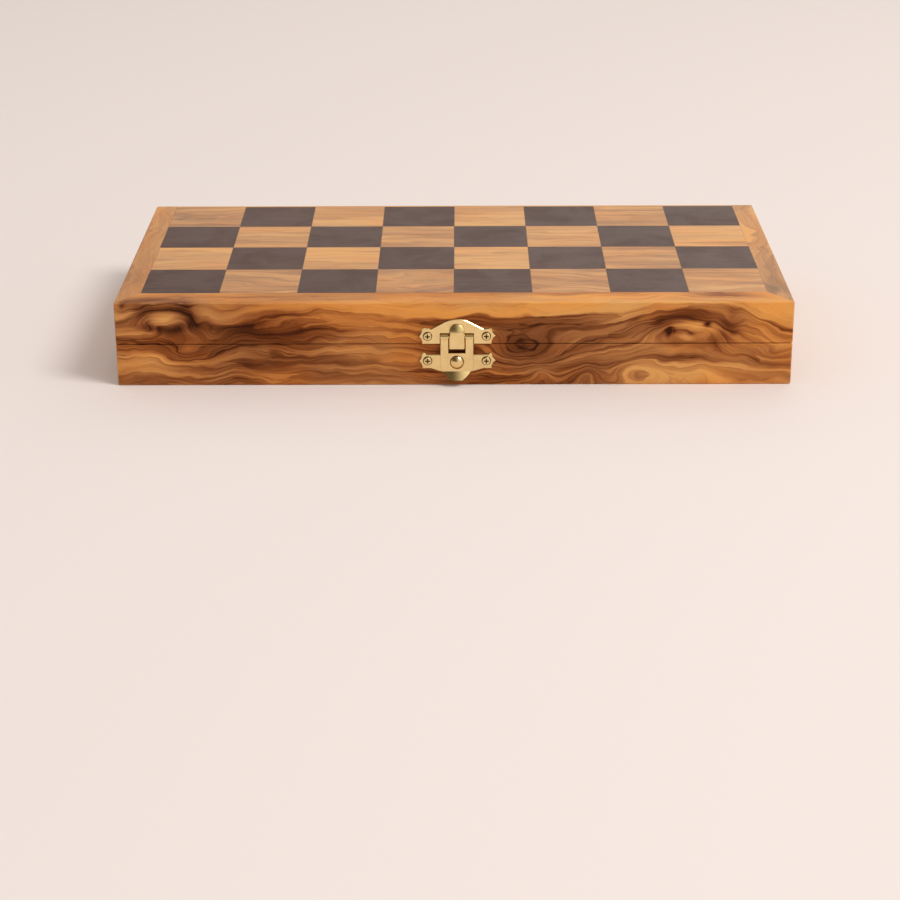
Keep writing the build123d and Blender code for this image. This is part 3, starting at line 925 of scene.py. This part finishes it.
# %% Brass on the clasp, the hinges and the screws
screw_top = box_in_mm("lid_latch_screws")[0].y
clasp_brass = brass("clasp_polished_brass", 0.25, 0.08, 0.16, shaded_heads=plate_heads, form=hood_slope)
flap_brass = brass("flap_polished_brass", 0.2, 0.08, 0.15, form=finger_lip)
clasp_screw_brass = brass("clasp_screw_brass", 0.4, 0.1, 0.2, recess=screw_top)
screw_brass = brass("hinge_screw_brass", 0.6, 0.15, 0.22)
hinge_brass = brass("hinge_satin_brass", 0.5, 0.25, 0.28)
finish_with(clasp_brass, "latch_hood_plate", "latch_stud_plate", "latch_pin")
finish_with(flap_brass, "latch_flap", "latch_stud")
finish_with(clasp_screw_brass, "lid_latch_screws", "base_latch_screws")
finish_with(screw_brass, "lid_hinge_screws", "base_hinge_screws")
leaves = [f"{half}_{side}_hinge_leaf" for half in ("lid", "base") for side in ("left", "right")]
finish_with(hinge_brass, *leaves, "left_hinge_pin", "right_hinge_pin")

# %% [markdown]
# ## The felt
# Each half is lined with a sheet of green felt, cut with a knife and glued down on the panel. Felt
# has no weave: it is a mat of crossed hairs with a short nap. The sheet could be a plain box with
# a bump, but then its cut edge looks like plastic. So it is a fine grid that wanders a little up
# and down, with an edge that isn't quite straight, and a thickness that a Solidify modifier gives.
# Its modest sheen is the light that catches in the nap at a low angle.

# %% Felt material
felt_deep, felt_lit = (0.010, 0.045, 0.022, 1), (0.045, 0.13, 0.07, 1)

material, bench, shader, place = start_material("green_felt")
mat_of_hair = bench.noise(bench.scaled(place, 2.2), detail=6.0, roughness=0.75, distortion=1.5)["Fac"]
clumps = bench.noise(bench.scaled(place, 0.12), detail=4.0, roughness=0.6)["Fac"]
hairs = bench.noise(bench.scaled(place, 5.0), detail=2.0, distortion=3.0)["Fac"]
hairs = bench.between(bench.math("ABSOLUTE", bench.math("SUBTRACT", hairs, 0.5)), 0.0, 0.03, 1.0, 0.0)
light = bench.math("MULTIPLY_ADD", clumps, 0.5, bench.math("MULTIPLY", mat_of_hair, 0.5))
light = bench.math("MULTIPLY_ADD", hairs, 0.25, bench.between(light, 0.3, 0.7), clamp=True)
bench.feed(shader.inputs["Base Color"], bench.mix(light, felt_deep, felt_lit))
bench.feed(shader.inputs["Roughness"], bench.between(clumps, 0.3, 0.7, 0.86, 0.97))
shader.inputs["Sheen Weight"].default_value = 0.3
shader.inputs["Sheen Roughness"].default_value = 0.6
raise_grain(bench, shader, bench.math("MULTIPLY_ADD", hairs, 0.4, mat_of_hair), 0.0004)
green_felt = material
print("material:", green_felt.name)

# %% Felt sheets
felt_step = 0.0025
felt_wander = 0.00012
felt_fray = 0.00015


def felt_sheet(name, node, body, up):
    """A felt sheet that stands for its CAD node. up is 1 where the felt faces up, -1 where down."""
    low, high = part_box(node)
    width, length = high.x - low.x, high.y - low.y
    thickness = high.z - low.z
    glued = low.z if up > 0 else high.z
    columns, rows_of_grid = round(width / felt_step), round(length / felt_step)
    mesh = bmesh.new()
    bmesh.ops.create_grid(mesh, x_segments=columns, y_segments=rows_of_grid, size=0.5)
    for vertex in mesh.verts:
        at_edge = max(abs(vertex.co.x), abs(vertex.co.y)) > 0.4999
        x = (low.x + high.x) / 2 + vertex.co.x * width
        y = (low.y + high.y) / 2 + vertex.co.y * length
        if at_edge:
            x -= abs(random.gauss(0, felt_fray)) * (1 if vertex.co.x > 0 else -1)
            y -= abs(random.gauss(0, felt_fray)) * (1 if vertex.co.y > 0 else -1)
        swell = felt_wander * (random.random() - 0.5)
        vertex.co = (x, y, glued + up * (thickness - felt_wander + swell))
    data = bpy.data.meshes.new(name)
    mesh.to_mesh(data)
    mesh.free()
    sheet = bpy.data.objects.new(name, data)
    bpy.context.scene.collection.objects.link(sheet)
    data.materials.append(green_felt)
    thicken = sheet.modifiers.new("thickness", "SOLIDIFY")
    thicken.thickness = thickness - 2 * felt_wander
    thicken.offset = -up
    for polygon in data.polygons:
        polygon.use_smooth = True
    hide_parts(node)
    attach(sheet, body)
    print(name, "cut", round(width * mm, 1), "x", round(length * mm, 1), "mm")


felt_sheet("base_felt_sheet", "base_felt_lining", "base", 1)
felt_sheet("lid_felt_sheet", "lid_felt_lining", "lid", -1)

# %% [markdown]
# ## The table
# The box lies on a large sheet of pale paper. Paper is matt and nearly even, with a faint cloudiness
# in its tone. A plane shows its far edge as a hard line against the background. Instead of bending
# it up into a sweep, it is simply very large, and its colour greys with the distance from the box
# until it is as dark as the horizon behind it. That also keeps the spot right under the lamp from
# burning out when the box is seen from the other side.

# %% Table
paper_shade, paper_tone = (0.80, 0.72, 0.69, 1), (0.865, 0.78, 0.745, 1)
greying_starts, greying_ends, far_grey = 900.0, 2200.0, 0.74
table_size = 9.0

bpy.ops.mesh.primitive_plane_add(size=table_size, location=(0, 0, 0))
table = bpy.context.object
table.name = "table"
material, bench, shader, place = start_material("table_paper")
pulp = bench.noise(bench.scaled(place, 0.5), detail=4.0)["Fac"]
colour = bench.mix(bench.between(pulp, 0.2, 0.8, 0.985, 1.0), paper_shade, paper_tone)
far_away = bench.vector("LENGTH", place)
greyer = bench.between(far_away, greying_starts, greying_ends, 1.0, far_grey)
bench.feed(shader.inputs["Base Color"], bench.scaled(colour, greyer))
shader.inputs["Roughness"].default_value = 0.9
shader.inputs["Specular IOR Level"].default_value = 0.15
table.data.materials.append(material)
print("table", table_size, "m")

# %% [markdown]
# ## Lamps
# The light is that of a room with one large window: a big round lamp stands to the right, in front
# and above, so that shadows fall softly to the left. A weak one behind the box keeps the far edges
# from going dull. Lamps can be turned by hand, but it is surer to let the direction from the origin
# to the lamp give the rotation.


# %% Lamps
def disk_lamp(name, place, size, power, colour):
    """A round soft lamp that looks at the origin."""
    lamp = bpy.data.objects.new(name, bpy.data.lights.new(name, "AREA"))
    lamp.data.shape = "DISK"
    lamp.data.size = size
    lamp.data.energy = power
    lamp.data.color = colour
    lamp.location = place
    lamp.rotation_mode = "QUATERNION"
    lamp.rotation_quaternion = Vector(place).to_track_quat("Z", "Y")
    bpy.context.scene.collection.objects.link(lamp)


disk_lamp("window_lamp", (1.85, -1.05, 2.55), size=1.4, power=58.0, colour=(1.0, 0.99, 0.98))
disk_lamp("back_lamp", (0.6, 2.6, 1.9), size=1.8, power=7.0, colour=(1.0, 0.98, 0.96))
print("lamps", [lamp.name for lamp in bpy.data.lights])

# %% [markdown]
# ## The room around
# The world does two jobs, and a switch on the kind of ray keeps them apart. To the diffuse surfaces
# it is an even warm fill, so that colours render about as they are written. The camera and the
# reflections see a room instead: a pale wall behind the box, and in front a dim corner at the left
# and the glow of the window at the right. Polished brass shows almost nothing but this room, so it
# is what gives the clasp its dark and bright sides. At the horizon the room is as dark as the far
# table, so no line shows where they meet.

# %% World
fill_colour, fill_strength = (1.0, 0.955, 0.90, 1), 0.60
far_table, wall = (0.43, 0.37, 0.33, 1), (0.86, 0.76, 0.70, 1)
dim_ceiling, dim_corner = (0.19, 0.16, 0.13, 1), (0.11, 0.09, 0.06, 1)
window_glow = (1.0, 0.94, 0.82, 1)

world = bpy.data.worlds.new("room")
bpy.context.scene.world = world
world.use_nodes = True
bench = Bench(world.node_tree)
path = bench.add("LightPath").outputs
seen = bench.math("MAXIMUM", path["Is Camera Ray"], path["Is Glossy Ray"])
seen = bench.math("MAXIMUM", seen, path["Is Transmission Ray"])
fill = world.node_tree.nodes["Background"]
fill.inputs["Color"].default_value = fill_colour
fill.inputs["Strength"].default_value = fill_strength
side, depth, rise = bench.split(bench.add("TexCoord").outputs["Generated"])
window_side = bench.mix(bench.between(side, -0.3, 0.7), dim_corner, window_glow)
in_front = bench.mix(bench.between(rise, 0.0, 0.22), far_table, window_side)
behind = bench.mix(bench.between(rise, 0.0, 0.12), far_table, wall)
behind = bench.mix(bench.between(rise, 0.12, 0.6), behind, dim_ceiling)
room = bench.mix(bench.between(depth, -0.3, 0.3), in_front, behind)
backdrop = bench.add("Background", {"Color": room, "Strength": 1.0})
either = bench.add("MixShader", {0: seen, 1: fill.outputs[0], 2: backdrop.outputs[0]})
bench.feed(world.node_tree.nodes["World Output"].inputs["Surface"], either.outputs[0])
print("world:", world.name, "fill", fill_strength)
